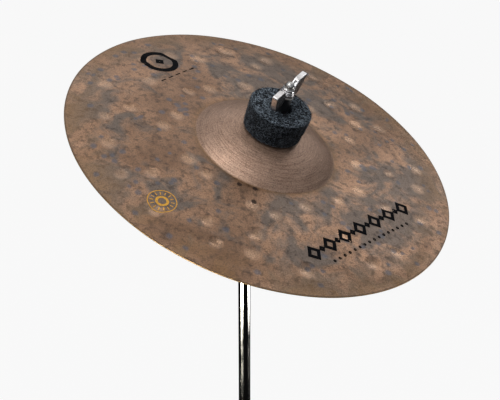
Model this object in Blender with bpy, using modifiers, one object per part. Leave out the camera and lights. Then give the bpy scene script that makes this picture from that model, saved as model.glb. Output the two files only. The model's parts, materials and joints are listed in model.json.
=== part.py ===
"""A 10 inch splash / small crash cymbal on the tilter and chrome arm that hold it.

Metres, +Z up.  The origin is the centre of the arm's lower end face and the arm runs up +Z to the
tilter's pivot, which turns about Y.  Everything above the pivot is built along the tilted stud.
"""

import math

import bmesh
import bpy
from mathutils import Vector

MM = 0.001
GAP = 0.3 * MM

# Stand and tilt
ARM_RADIUS = 4.0 * MM
PIVOT_HEIGHT = 230.0 * MM
TILT = math.radians(18.4)

# Heights along the stud, from the pivot
EDGE_HEIGHT = 32.5 * MM
BELL_BASE_HEIGHT = EDGE_HEIGHT + 9.5 * MM
HOLE_HEIGHT = EDGE_HEIGHT + 22.0 * MM

# Cymbal
CYMBAL_RADIUS = 127.0 * MM
BELL_RADIUS = 45.5 * MM
HOLE_RADIUS = 6.35 * MM
CYMBAL_THICKNESS = 0.7 * MM
BOW_POWER = 1.55
BELL_POWER = 2.3
BOW_RINGS = 9
BELL_RINGS = 9
CYMBAL_SEGMENTS = 72

# Felts and the sleeve that runs through them
FELT_RADIUS = 20.0 * MM
FELT_BOTTOM_RADIUS = 18.6 * MM
FELT_HOLE_RADIUS = 7.0 * MM
FELT_TOP = EDGE_HEIGHT + 40.8 * MM
FELT_ROUNDING = 1.2 * MM
LOWER_FELT_RADIUS = 14.0 * MM
SLEEVE_RADIUS = 4.6 * MM
SLEEVE_FLANGE_RADIUS = 8.0 * MM
SLEEVE_FLANGE_THICKNESS = 1.2 * MM
SLEEVE_BOTTOM = EDGE_HEIGHT + 10.6 * MM
SLEEVE_TOP = EDGE_HEIGHT + 49.2 * MM

# Stud and the pieces threaded or dropped on it
STUD_RADIUS = 3.0 * MM
STUD_BORE_RADIUS = STUD_RADIUS + GAP
STUD_BOTTOM = 15.0 * MM
STUD_TIP = EDGE_HEIGHT + 59.6 * MM
STUD_DOME_HEIGHT = 2.9 * MM
WASHER_RADIUS = 13.0 * MM
WASHER_THICKNESS = 1.4 * MM
WASHER_LIP = 1.6 * MM
SEAT_NUT_HEIGHT = 4.0 * MM
M6_NUT_ACROSS_FLATS = 10.0 * MM

# Wing nut
NUT_WASHER_THICKNESS = 1.0 * MM
NUT_WASHER_RADIUS = 5.0 * MM
HUB_BOTTOM_RADIUS = 4.9 * MM
HUB_MIDDLE_RADIUS = 4.4 * MM
HUB_TOP_RADIUS = 3.95 * MM
HUB_BOTTOM = SLEEVE_TOP + NUT_WASHER_THICKNESS + 2 * GAP
HUB_TOP = EDGE_HEIGHT + 55.4 * MM
WING_TIP_REACH = 21.5 * MM
WING_BEND_REACH = 10.6 * MM
WING_FOOT_REACH = 14.8 * MM
WING_SLOPE_REACH = 5.6 * MM
WING_SLOPE_FOOT = EDGE_HEIGHT + 52.9 * MM
WING_TOP = EDGE_HEIGHT + 58.0 * MM
WING_FOOT = EDGE_HEIGHT + 44.8 * MM
WING_THICKNESS = 3.8 * MM
WING_BEVEL = 0.5 * MM
WING_ANGLE = math.radians(62.0)

# Tilter
DISC_RADIUS = 12.5 * MM
DISC_THICKNESS = 8.6 * MM
BRAKE_THICKNESS = 1.2 * MM
BRAKE_RADIUS = 11.0 * MM
DISC_INNER_FACE = BRAKE_THICKNESS / 2 + GAP
DISC_OUTER_FACE = DISC_INNER_FACE + DISC_THICKNESS
SOCKET_START = 13.0 * MM
BASE_SOCKET_RADIUS = 6.5 * MM
BASE_SOCKET_END = 35.0 * MM
HEAD_SOCKET_RADIUS = 5.5 * MM
HEAD_SOCKET_END = 28.0 * MM
SOCKET_FLOOR = 2.0 * MM
WEB_START = 5.0 * MM
WEB_END = 20.0 * MM
ARM_PIN_RADIUS = 1.5 * MM
ARM_PIN_DEPTH = 26.0 * MM
STUD_PIN_RADIUS = 1.0 * MM
STUD_PIN_DEPTH = 21.0 * MM
CASTING_BEVEL = 0.6 * MM

# Clamp screw through the tilter
BOLT_RADIUS = 3.0 * MM
BOLT_HEAD_RADIUS = 5.0 * MM
BOLT_HEAD_LENGTH = 10.0 * MM
BOLT_END = 13.0 * MM
SPRING_WASHER_THICKNESS = 1.2 * MM
SPRING_WASHER_RADIUS = 5.5 * MM
SPRING_WASHER_SLOT = 1.0 * MM
CLAMP_NUT_HEIGHT = 5.0 * MM
CLAMP_NUT_POCKET = 3.0 * MM
HANDLE_RADIUS = 2.0 * MM
HANDLE_LENGTH = 34.0 * MM
HANDLE_BALL_RADIUS = 3.2 * MM

SEGMENTS = 32
CUTTER_EXTRA = 1.0 * MM


def clear_scene():
    for old in list(bpy.data.objects):
        bpy.data.objects.remove(old, do_unlink=True)


def make_collection(name):
    collection = bpy.data.collections.new(name)
    bpy.context.scene.collection.children.link(collection)
    return collection


def material(name, colour, metallic, roughness):
    made = bpy.data.materials.new(name)
    made.use_nodes = True
    shader = made.node_tree.nodes["Principled BSDF"]
    shader.inputs["Base Color"].default_value = (*colour, 1.0)
    shader.inputs["Metallic"].default_value = metallic
    shader.inputs["Roughness"].default_value = roughness
    return made


def bronze():
    return material("raw_bronze", (0.20, 0.13, 0.085), 0.9, 0.42)


def felt_wool(name):
    return material(name, (0.025, 0.030, 0.038), 0.0, 0.95)


def chrome(name):
    return material(name, (0.62, 0.62, 0.61), 1.0, 0.12)


def cast_metal(name):
    return material(name, (0.52, 0.52, 0.51), 1.0, 0.32)


def zinc_steel(name):
    return material(name, (0.48, 0.48, 0.47), 1.0, 0.28)


def black_nylon(name):
    return material(name, (0.02, 0.02, 0.022), 0.0, 0.5)


def add_object(name, mesh, collection, parent=None, location=(0, 0, 0), rotation=(0, 0, 0)):
    made = bpy.data.objects.new(name, mesh)
    collection.objects.link(made)
    made.parent = parent
    made.location = location
    made.rotation_euler = rotation
    return made


def finish(piece, look):
    """Gives a piece its material and smooth shading that stops at its sharp edges."""
    piece.data.materials.clear()
    piece.data.materials.append(look)
    piece.data.shade_smooth()
    piece.data.set_sharp_from_angle(angle=math.radians(35))
    return piece


def turned(name, profile, collection, segments=SEGMENTS, closed=True, **place):
    """Turns a profile of (radius, height) points about Z; it runs down its outer side."""
    mesh = bpy.data.meshes.new(name)
    points = [Vector((radius, 0, height)) for radius, height in profile]
    edges = [(i, i + 1) for i in range(len(points) - 1)]
    if closed:
        edges.append((len(points) - 1, 0))
    mesh.from_pydata(points, edges, [])
    made = add_object(name, mesh, collection, **place)
    screw = made.modifiers.new("Turn", "SCREW")
    screw.axis = "Z"
    screw.angle = math.tau
    screw.steps = segments
    screw.render_steps = segments
    screw.use_merge_vertices = True
    screw.merge_threshold = 0.00001
    screw.use_smooth_shade = True
    return made


def ring(name, inner, outer, bottom, top, collection, **place):
    """A plain turned ring with chamfered outer corners."""
    chamfer = min(0.25 * (top - bottom), 0.4 * MM)
    profile = [
        (inner, top),
        (outer - chamfer, top),
        (outer, top - chamfer),
        (outer, bottom + chamfer),
        (outer - chamfer, bottom),
        (inner, bottom),
    ]
    return turned(name, profile, collection, **place)


def rod(name, radius, bottom, top, chamfer, collection, **place):
    """A solid round bar with chamfered ends."""
    profile = [
        (0.0, top),
        (radius - chamfer, top),
        (radius, top - chamfer),
        (radius, bottom + chamfer),
        (radius - chamfer, bottom),
        (0.0, bottom),
    ]
    return turned(name, profile, collection, closed=False, **place)


def prism(name, sides, radius, bottom, top, collection, **place):
    """A regular prism standing on Z, used for hexagons and round cutters."""
    shape = bmesh.new()
    bmesh.ops.create_cone(
        shape,
        cap_ends=True,
        segments=sides,
        radius1=radius,
        radius2=radius,
        depth=top - bottom,
    )
    bmesh.ops.translate(shape, verts=shape.verts, vec=(0, 0, (top + bottom) / 2))
    mesh = bpy.data.meshes.new(name)
    shape.to_mesh(mesh)
    shape.free()
    return add_object(name, mesh, collection, **place)


def block(name, low, high, collection, **place):
    """A box between two corners."""
    shape = bmesh.new()
    bmesh.ops.create_cube(shape, size=1.0)
    size = Vector(high) - Vector(low)
    bmesh.ops.scale(shape, verts=shape.verts, vec=size)
    bmesh.ops.translate(shape, verts=shape.verts, vec=(Vector(high) + Vector(low)) / 2)
    mesh = bpy.data.meshes.new(name)
    shape.to_mesh(mesh)
    shape.free()
    return add_object(name, mesh, collection, **place)


def plate(name, outline, thickness, collection, **place):
    """A flat outline in X and Z, thickened along Y."""
    curve = bpy.data.curves.new(name, "CURVE")
    curve.dimensions = "2D"
    curve.fill_mode = "BOTH"
    curve.extrude = thickness / 2
    spline = curve.splines.new("POLY")
    spline.points.add(len(outline) - 1)
    for point, (reach, height) in zip(spline.points, outline):
        point.co = (reach, height, 0, 1)
    spline.use_cyclic_u = True
    flat = bpy.data.objects.new(name + "_outline", curve)
    collection.objects.link(flat)
    bpy.context.view_layer.update()
    mesh = bpy.data.meshes.new_from_object(flat.evaluated_get(bpy.context.evaluated_depsgraph_get()))
    bpy.data.objects.remove(flat, do_unlink=True)
    shape = bmesh.new()
    shape.from_mesh(mesh)
    bmesh.ops.remove_doubles(shape, verts=shape.verts, dist=0.00001)
    for vertex in shape.verts:
        reach, height, depth = vertex.co
        vertex.co = (reach, -depth, height)
    bmesh.ops.recalc_face_normals(shape, faces=shape.faces)
    shape.to_mesh(mesh)
    shape.free()
    mesh.name = name
    return add_object(name, mesh, collection, **place)




def combine(piece, others, operation):
    """Unites a piece with others or cuts them out of it, and keeps the others as hidden cutters."""
    for other in others:
        boolean = piece.modifiers.new(operation.title(), "BOOLEAN")
        boolean.object = other
        boolean.operation = operation
        boolean.solver = "EXACT"
        other.hide_render = True
        other.display_type = "WIRE"


def soften(piece, width):
    bevel = piece.modifiers.new("Soften", "BEVEL")
    bevel.width = width
    bevel.segments = 2
    bevel.limit_method = "ANGLE"
    bevel.angle_limit = math.radians(40)


def bow_height(radius):
    """Height of the cymbal's outer surface at a radius, from its edge to its hole."""
    if radius > BELL_RADIUS:
        share = (radius - BELL_RADIUS) / (CYMBAL_RADIUS - BELL_RADIUS)
        return BELL_BASE_HEIGHT - (BELL_BASE_HEIGHT - EDGE_HEIGHT) * share**BOW_POWER
    share = (radius - HOLE_RADIUS) / (BELL_RADIUS - HOLE_RADIUS)
    return HOLE_HEIGHT - (HOLE_HEIGHT - BELL_BASE_HEIGHT) * share**BELL_POWER


def cymbal_surface():
    """The (radius, height) points of the outer surface from the hole out to the edge."""
    points = []
    for i in range(BELL_RINGS):
        radius = HOLE_RADIUS + (BELL_RADIUS - HOLE_RADIUS) * (i / BELL_RINGS) ** 0.8
        points.append((radius, bow_height(radius)))
    for i in range(BOW_RINGS + 1):
        radius = BELL_RADIUS + (CYMBAL_RADIUS - BELL_RADIUS) * i / BOW_RINGS
        points.append((radius, bow_height(radius)))
    return points


def make_cymbal(parts, stud_axis):
    top = cymbal_surface()
    bottom = [(radius, height - CYMBAL_THICKNESS) for radius, height in reversed(top)]
    made = turned("cymbal", top + bottom, parts, segments=CYMBAL_SEGMENTS, parent=stud_axis)
    return finish(made, bronze())


def make_upper_felt(parts, stud_axis):
    bottom = HOLE_HEIGHT + GAP
    profile = [
        (FELT_HOLE_RADIUS, FELT_TOP),
        (FELT_RADIUS - FELT_ROUNDING, FELT_TOP),
        (FELT_RADIUS - 0.3 * FELT_ROUNDING, FELT_TOP - 0.3 * FELT_ROUNDING),
        (FELT_RADIUS, FELT_TOP - FELT_ROUNDING),
        (FELT_BOTTOM_RADIUS, bottom + FELT_ROUNDING),
        (FELT_BOTTOM_RADIUS - 0.3 * FELT_ROUNDING, bottom + 0.3 * FELT_ROUNDING),
        (FELT_BOTTOM_RADIUS - FELT_ROUNDING, bottom),
        (FELT_HOLE_RADIUS, bottom),
    ]
    made = turned("upper_felt", profile, parts, segments=40, parent=stud_axis)
    return finish(made, felt_wool("upper_felt_wool"))


def make_lower_felt(parts, stud_axis):
    """The lower felt's top is pressed to the hollow of the bell."""
    bottom = SLEEVE_BOTTOM + SLEEVE_FLANGE_THICKNESS + GAP
    steps = 5
    profile = []
    for i in range(steps):
        radius = FELT_HOLE_RADIUS + (LOWER_FELT_RADIUS - FELT_HOLE_RADIUS) * i / (steps - 1)
        profile.append((radius, bow_height(radius) - CYMBAL_THICKNESS - 2 * GAP))
    profile.append((LOWER_FELT_RADIUS, bottom + 1.0 * MM))
    profile.append((LOWER_FELT_RADIUS - 1.0 * MM, bottom))
    profile.append((FELT_HOLE_RADIUS, bottom))
    made = turned("lower_felt", profile, parts, parent=stud_axis)
    return finish(made, felt_wool("lower_felt_wool"))


def make_sleeve(parts, stud_axis):
    flange_top = SLEEVE_BOTTOM + SLEEVE_FLANGE_THICKNESS
    profile = [
        (STUD_BORE_RADIUS, SLEEVE_TOP),
        (SLEEVE_RADIUS - 0.3 * MM, SLEEVE_TOP),
        (SLEEVE_RADIUS, SLEEVE_TOP - 0.3 * MM),
        (SLEEVE_RADIUS, flange_top),
        (SLEEVE_FLANGE_RADIUS, flange_top),
        (SLEEVE_FLANGE_RADIUS, SLEEVE_BOTTOM),
        (STUD_BORE_RADIUS, SLEEVE_BOTTOM),
    ]
    made = turned("cymbal_sleeve", profile, parts, parent=stud_axis)
    return finish(made, black_nylon("sleeve_nylon"))


def make_cup_washer(parts, stud_axis):
    """A steel cup whose lip turns down round its rim."""
    top = SLEEVE_BOTTOM - GAP
    bottom = top - WASHER_THICKNESS
    wall = WASHER_RADIUS - WASHER_THICKNESS
    profile = [
        (STUD_BORE_RADIUS, top),
        (wall, top),
        (WASHER_RADIUS, bottom),
        (WASHER_RADIUS, bottom - WASHER_LIP),
        (wall, bottom - WASHER_LIP),
        (wall, bottom),
        (STUD_BORE_RADIUS, bottom),
    ]
    made = turned("cup_washer", profile, parts, parent=stud_axis)
    return finish(made, chrome("cup_washer_chrome"))


def hex_nut(name, bottom, top, parts, cutters, look, **place):
    """An M6 nut: a hexagon with a plain bore that clears the stud."""
    corner_radius = M6_NUT_ACROSS_FLATS / 2 / math.cos(math.pi / 6)
    made = prism(name, 6, corner_radius, bottom, top, parts, **place)
    bore = prism(
        name + "_bore", SEGMENTS, STUD_BORE_RADIUS, bottom - CUTTER_EXTRA, top + CUTTER_EXTRA, cutters, **place
    )
    soften(made, 0.4 * MM)
    combine(made, [bore], "DIFFERENCE")
    return finish(made, look)


def make_seat_nut(parts, cutters, stud_axis):
    top = SLEEVE_BOTTOM - 2 * GAP - WASHER_THICKNESS
    bottom = top - SEAT_NUT_HEIGHT
    return hex_nut("seat_nut", bottom, top, parts, cutters, zinc_steel("seat_nut_steel"), parent=stud_axis)


def make_stud(parts, cutters, stud_axis):
    """The M6 stud, with a domed tip and a cross hole for its pin."""
    dome_steps = 5
    profile = []
    for i in range(dome_steps + 1):
        angle = math.pi / 2 * i / dome_steps
        profile.append((STUD_RADIUS * math.sin(angle), STUD_TIP - STUD_DOME_HEIGHT * (1 - math.cos(angle))))
    profile.append((STUD_RADIUS, STUD_BOTTOM + 0.4 * MM))
    profile.append((STUD_RADIUS - 0.4 * MM, STUD_BOTTOM))
    profile.append((0.0, STUD_BOTTOM))
    made = turned("tilter_stud", profile, parts, closed=False, parent=stud_axis)
    hole = cross_hole("stud_pin_hole", STUD_PIN_RADIUS + GAP, STUD_PIN_DEPTH, cutters, stud_axis)
    combine(made, [hole], "DIFFERENCE")
    return finish(made, zinc_steel("stud_steel"))


def cross_hole(name, radius, height, cutters, parent):
    """A cutter along Y that passes through a socket at a height on its parent's axis."""
    reach = BASE_SOCKET_RADIUS + CUTTER_EXTRA
    return prism(
        name, 20, radius, -reach, reach, cutters, parent=parent, location=(0, 0, height), rotation=(math.pi / 2, 0, 0)
    )


def make_nut_washer(parts, stud_axis):
    bottom = SLEEVE_TOP + GAP
    made = ring(
        "nut_washer",
        STUD_BORE_RADIUS,
        NUT_WASHER_RADIUS,
        bottom,
        bottom + NUT_WASHER_THICKNESS,
        parts,
        parent=stud_axis,
    )
    return finish(made, zinc_steel("nut_washer_steel"))


def wing_outline(side):
    """One wing seen from its flat side: it rises steeply from the hub and then runs out level."""
    root = HUB_TOP_RADIUS * 0.7
    points = [
        (root, HUB_BOTTOM + 0.8 * MM),
        (root, WING_SLOPE_FOOT),
        (WING_SLOPE_REACH, WING_SLOPE_FOOT),
        (WING_BEND_REACH - 0.8 * MM, WING_TOP - 0.8 * MM),
        (WING_BEND_REACH + 0.8 * MM, WING_TOP),
        (WING_TIP_REACH - 0.8 * MM, WING_TOP),
        (WING_TIP_REACH, WING_TOP - 1.0 * MM),
        (WING_FOOT_REACH + 1.5 * MM, WING_FOOT + 0.6 * MM),
        (WING_FOOT_REACH - 0.8 * MM, WING_FOOT),
        (HUB_BOTTOM_RADIUS + 2.2 * MM, WING_FOOT + 1.6 * MM),
        (HUB_BOTTOM_RADIUS + 1.4 * MM, HUB_BOTTOM - 0.6 * MM),
        (HUB_BOTTOM_RADIUS + 0.7 * MM, HUB_BOTTOM + 0.8 * MM),
    ]
    return [(side * reach, height) for reach, height in points]


def make_wing_nut(parts, cutters, stud_axis):
    place = {"parent": stud_axis, "rotation": (0, 0, WING_ANGLE)}
    profile = [
        (0.0, HUB_TOP),
        (HUB_TOP_RADIUS - 0.3 * MM, HUB_TOP),
        (HUB_TOP_RADIUS, HUB_TOP - 0.3 * MM),
        (HUB_TOP_RADIUS, HUB_TOP - 1.3 * MM),
        (HUB_MIDDLE_RADIUS, HUB_TOP - 1.7 * MM),
        (HUB_MIDDLE_RADIUS + 0.1 * MM, HUB_TOP - 2.6 * MM),
        (HUB_BOTTOM_RADIUS, HUB_BOTTOM + 1.5 * MM),
        (HUB_BOTTOM_RADIUS, HUB_BOTTOM + 0.4 * MM),
        (HUB_BOTTOM_RADIUS - 0.4 * MM, HUB_BOTTOM),
        (0.0, HUB_BOTTOM),
    ]
    made = turned("wing_nut", profile, parts, closed=False, **place)
    wings = []
    for side, label in ((1, "away"), (-1, "near")):
        wing = plate("wing_" + label, wing_outline(side), WING_THICKNESS, cutters, **place)
        soften(wing, WING_BEVEL)
        wings.append(wing)
    combine(made, wings, "UNION")
    bore = prism(
        "wing_nut_bore",
        SEGMENTS,
        STUD_BORE_RADIUS,
        HUB_BOTTOM - CUTTER_EXTRA,
        WING_TOP + CUTTER_EXTRA,
        cutters,
        **place,
    )
    combine(made, [bore], "DIFFERENCE")
    return finish(made, cast_metal("wing_nut_cast"))


def tilter_half(name, way, socket_radius, socket_end, bore_radius, pin_hole, parts, cutters, parent):
    """One half of the tilter: a disc beside the pivot and a socket on the half's own rod.

    way is +1 for the head, whose socket points up and whose disc is at +Y, and -1 for the base.
    """
    inner, outer = sorted((way * DISC_INNER_FACE, way * DISC_OUTER_FACE))
    low, high = sorted((way * SOCKET_START, way * socket_end))
    along_y = (-math.pi / 2, 0, 0)
    made = rod(name, DISC_RADIUS, inner, outer, CASTING_BEVEL, parts, parent=parent, rotation=along_y)
    socket = rod(name + "_socket", socket_radius, low, high, CASTING_BEVEL, cutters, parent=parent)
    web_low, web_high = sorted((way * WEB_START, way * WEB_END))
    half_web = 0.8 * socket_radius
    web = block(name + "_web", (-half_web, inner, web_low), (half_web, outer, web_high), cutters, parent=parent)
    combine(made, [web, socket], "UNION")
    bore_low, bore_high = sorted((way * (SOCKET_START + SOCKET_FLOOR - GAP), way * (socket_end + CUTTER_EXTRA)))
    bore = prism(name + "_bore", SEGMENTS, bore_radius, bore_low, bore_high, cutters, parent=parent)
    bolt_way = prism(
        name + "_bolt_way",
        SEGMENTS,
        BOLT_RADIUS + GAP,
        inner - CUTTER_EXTRA,
        outer + CUTTER_EXTRA,
        cutters,
        parent=parent,
        rotation=along_y,
    )
    combine(made, [bore, bolt_way, pin_hole], "DIFFERENCE")
    return made


def make_tilter_base(parts, cutters, pivot):
    pin_hole = cross_hole("base_pin_hole", ARM_PIN_RADIUS + GAP, -ARM_PIN_DEPTH, cutters, pivot)
    made = tilter_half(
        "tilter_base",
        -1,
        BASE_SOCKET_RADIUS,
        BASE_SOCKET_END,
        ARM_RADIUS + GAP,
        pin_hole,
        parts,
        cutters,
        pivot,
    )
    pocket = prism(
        "clamp_nut_pocket",
        6,
        M6_NUT_ACROSS_FLATS / 2 / math.cos(math.pi / 6) + GAP,
        -DISC_OUTER_FACE - CUTTER_EXTRA,
        -DISC_OUTER_FACE + CLAMP_NUT_POCKET,
        cutters,
        parent=pivot,
        rotation=(-math.pi / 2, 0, 0),
    )
    combine(made, [pocket], "DIFFERENCE")
    return finish(made, cast_metal("tilter_base_cast"))


def make_tilter_head(parts, cutters, stud_axis):
    pin_hole = cross_hole("head_pin_hole", STUD_PIN_RADIUS + GAP, STUD_PIN_DEPTH, cutters, stud_axis)
    made = tilter_half(
        "tilter_head",
        1,
        HEAD_SOCKET_RADIUS,
        HEAD_SOCKET_END,
        STUD_BORE_RADIUS,
        pin_hole,
        parts,
        cutters,
        stud_axis,
    )
    return finish(made, cast_metal("tilter_head_cast"))


def make_pins(parts, pivot, stud_axis):
    across = (math.pi / 2, 0, 0)
    arm_half = BASE_SOCKET_RADIUS - 0.1 * MM
    arm_pin = rod(
        "arm_pin",
        ARM_PIN_RADIUS,
        -arm_half,
        arm_half,
        GAP,
        parts,
        segments=20,
        parent=pivot,
        location=(0, 0, -ARM_PIN_DEPTH),
        rotation=across,
    )
    finish(arm_pin, zinc_steel("arm_pin_steel"))
    stud_half = HEAD_SOCKET_RADIUS - 0.1 * MM
    stud_pin = rod(
        "stud_pin",
        STUD_PIN_RADIUS,
        -stud_half,
        stud_half,
        GAP,
        parts,
        segments=16,
        parent=stud_axis,
        location=(0, 0, STUD_PIN_DEPTH),
        rotation=across,
    )
    finish(stud_pin, zinc_steel("stud_pin_steel"))


def make_arm(parts, cutters, pivot):
    """The chrome arm; its top ends inside the tilter's socket and is held there by the arm pin."""
    top = -SOCKET_START - SOCKET_FLOOR
    made = rod("stand_arm", ARM_RADIUS, -PIVOT_HEIGHT, top, 0.5 * MM, parts, parent=pivot)
    hole = cross_hole("arm_pin_hole", ARM_PIN_RADIUS + GAP, -ARM_PIN_DEPTH, cutters, pivot)
    combine(made, [hole], "DIFFERENCE")
    return finish(made, chrome("arm_chrome"))


def make_brake_disc(parts, pivot):
    made = ring(
        "brake_disc",
        BOLT_RADIUS + GAP,
        BRAKE_RADIUS,
        -BRAKE_THICKNESS / 2,
        BRAKE_THICKNESS / 2,
        parts,
        parent=pivot,
        rotation=(-math.pi / 2, 0, 0),
    )
    return finish(made, material("brake_fibre", (0.12, 0.09, 0.06), 0.0, 0.8))


def make_clamp_screw(parts, cutters, pivot):
    """The screw, its cross handle, its spring washer and the nut it draws against."""
    along_y = (-math.pi / 2, 0, 0)
    washer_low = DISC_OUTER_FACE + GAP
    washer = ring(
        "clamp_spring_washer",
        BOLT_RADIUS + GAP,
        SPRING_WASHER_RADIUS,
        washer_low,
        washer_low + SPRING_WASHER_THICKNESS,
        parts,
        parent=pivot,
        rotation=along_y,
    )
    slot = block(
        "spring_washer_slot",
        (-SPRING_WASHER_SLOT / 2, washer_low - CUTTER_EXTRA, 0),
        (SPRING_WASHER_SLOT / 2, washer_low + SPRING_WASHER_THICKNESS + CUTTER_EXTRA, 2 * SPRING_WASHER_RADIUS),
        cutters,
        parent=pivot,
    )
    combine(washer, [slot], "DIFFERENCE")
    finish(washer, zinc_steel("spring_washer_steel"))

    head_low = washer_low + SPRING_WASHER_THICKNESS + GAP
    head_high = head_low + BOLT_HEAD_LENGTH
    chamfer = 0.6 * MM
    profile = [
        (0.0, head_high),
        (BOLT_HEAD_RADIUS - chamfer, head_high),
        (BOLT_HEAD_RADIUS, head_high - chamfer),
        (BOLT_HEAD_RADIUS, head_low),
        (BOLT_RADIUS, head_low),
        (BOLT_RADIUS, -BOLT_END + chamfer),
        (BOLT_RADIUS - chamfer, -BOLT_END),
        (0.0, -BOLT_END),
    ]
    bolt = turned("clamp_bolt", profile, parts, closed=False, parent=pivot, rotation=along_y)
    handle_at = (0, head_low + 0.6 * BOLT_HEAD_LENGTH, 0)
    hole = prism(
        "handle_hole",
        20,
        HANDLE_RADIUS + GAP,
        -2 * BOLT_HEAD_RADIUS,
        2 * BOLT_HEAD_RADIUS,
        cutters,
        parent=pivot,
        location=handle_at,
    )
    combine(bolt, [hole], "DIFFERENCE")
    finish(bolt, zinc_steel("clamp_bolt_steel"))

    handle = turned(
        "clamp_handle", handle_profile(), parts, segments=20, closed=False, parent=pivot, location=handle_at
    )
    finish(handle, chrome("clamp_handle_chrome"))

    nut_low = -DISC_OUTER_FACE + CLAMP_NUT_POCKET - GAP - CLAMP_NUT_HEIGHT
    hex_nut(
        "clamp_nut",
        nut_low,
        nut_low + CLAMP_NUT_HEIGHT,
        parts,
        cutters,
        zinc_steel("clamp_nut_steel"),
        parent=pivot,
        rotation=along_y,
    )


def handle_profile():
    """A slim bar with a ball at each end, from its top down."""
    steps = 6
    ball_centre = HANDLE_LENGTH / 2 - HANDLE_BALL_RADIUS
    neck = math.pi - math.asin(HANDLE_RADIUS / HANDLE_BALL_RADIUS)
    upper = []
    for i in range(steps + 1):
        angle = neck * i / steps
        radius = HANDLE_BALL_RADIUS * math.sin(angle)
        upper.append((radius, ball_centre + HANDLE_BALL_RADIUS * math.cos(angle)))
    lower = [(radius, -height) for radius, height in reversed(upper)]
    return upper + lower


def build():
    clear_scene()
    parts = make_collection("cymbal_on_tilter")
    cutters = make_collection("cutters")

    pivot = add_object("pivot", None, parts, location=(0, 0, PIVOT_HEIGHT))
    stud_axis = add_object("stud_axis", None, parts, location=(0, 0, PIVOT_HEIGHT), rotation=(0, TILT, 0))

    make_cymbal(parts, stud_axis)
    make_upper_felt(parts, stud_axis)
    make_lower_felt(parts, stud_axis)
    make_sleeve(parts, stud_axis)
    make_cup_washer(parts, stud_axis)
    make_seat_nut(parts, cutters, stud_axis)
    make_stud(parts, cutters, stud_axis)
    make_nut_washer(parts, stud_axis)
    make_wing_nut(parts, cutters, stud_axis)
    make_tilter_head(parts, cutters, stud_axis)
    make_tilter_base(parts, cutters, pivot)
    make_brake_disc(parts, pivot)
    make_clamp_screw(parts, cutters, pivot)
    make_pins(parts, pivot, stud_axis)
    make_arm(parts, cutters, pivot)


build()
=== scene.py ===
"""Looks for the small hammered cymbal on its tilter and arm: shapes, materials, light and camera."""

import json
import math

import bmesh
import bpy
import numpy as np
from mathutils import Matrix, Vector


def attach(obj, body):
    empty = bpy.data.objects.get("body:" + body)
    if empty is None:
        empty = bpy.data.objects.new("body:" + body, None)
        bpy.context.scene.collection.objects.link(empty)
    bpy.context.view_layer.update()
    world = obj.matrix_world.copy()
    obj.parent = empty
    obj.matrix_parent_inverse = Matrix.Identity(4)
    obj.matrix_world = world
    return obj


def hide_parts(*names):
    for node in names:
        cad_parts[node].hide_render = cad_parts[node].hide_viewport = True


MM = 0.001
GAP = 0.3 * MM

# The stud's frame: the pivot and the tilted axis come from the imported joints
PIVOT_JOINT = "tilter_tilt"
SPIN_JOINT = "cymbal_spin"

# Heights along the stud, from the pivot
EDGE_HEIGHT = 32.5 * MM
BELL_BASE_HEIGHT = EDGE_HEIGHT + 9.5 * MM
HOLE_HEIGHT = EDGE_HEIGHT + 22.0 * MM
FELT_TOP = EDGE_HEIGHT + 40.8 * MM
SLEEVE_BOTTOM = EDGE_HEIGHT + 10.6 * MM
SLEEVE_TOP = EDGE_HEIGHT + 49.2 * MM
STUD_BOTTOM = 15.0 * MM
STUD_TIP = EDGE_HEIGHT + 59.6 * MM
STUD_DOME_HEIGHT = 2.9 * MM

# Cymbal
CYMBAL_RADIUS = 127.0 * MM
BELL_RADIUS = 45.5 * MM
HOLE_RADIUS = 6.35 * MM
CYMBAL_THICKNESS = 0.7 * MM
BOW_POWER = 1.55
BELL_POWER = 2.3
TOP_RINGS = 104
UNDER_RINGS = 46
CYMBAL_SEGMENTS = 432

# Hammering: rings of large dents (radius, count, first angle), small peen marks and three punch marks
DENT_RINGS = (
    (62.0 * MM, 16, 0.18),
    (88.0 * MM, 12, 0.05),
    (105.0 * MM, 20, 0.32),
)
DENT_RADIUS = 6.1 * MM
DENT_DEPTH = 1.1 * MM
DENT_WANDER = 5.0 * MM
PEEN_COUNT = 150
PEEN_RADIUS = 2.2 * MM
PEEN_DEPTH = 0.12 * MM
PUNCH_MARKS = ((-16.7 * MM, -46.9 * MM), (-6.7 * MM, -47.2 * MM), (-7.2 * MM, -59.4 * MM))
PUNCH_RADIUS = 1.9 * MM
PUNCH_DEPTH = 0.30 * MM
HAMMER_SEED = 11
WAVE_HEIGHT = 0.12 * MM
GROOVE_DEPTH = 0.20 * MM

# Ornament on the cymbal: places and sizes in its own plane
INK_LIFT = 0.06 * MM
RING_MARK_PLACE = (-70 * MM, 68 * MM)
RING_MARK_RADII = (8.6 * MM, 12.4 * MM)
RING_MARK_ANGLE = math.radians(50)
DASH_PLACE = (-58 * MM, 56 * MM)
DASH_COUNT = 5
DASH_SPACING = 7.0 * MM
BAND_PLACE = (61.5 * MM, -55.5 * MM)
BAND_ANGLE = math.radians(48.4)
BAND_LENGTH = 90 * MM
BAND_FIGURES = 13
BAND_DOTS = 16
DOT_ROW_LENGTH = 74 * MM
DOT_ROW_DROP = 10.8 * MM
SUN_PLACE = (-63.0 * MM, -76.5 * MM)
SUN_RAYS = 14
SUN_RAY_REACH = 6.5 * MM

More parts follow.
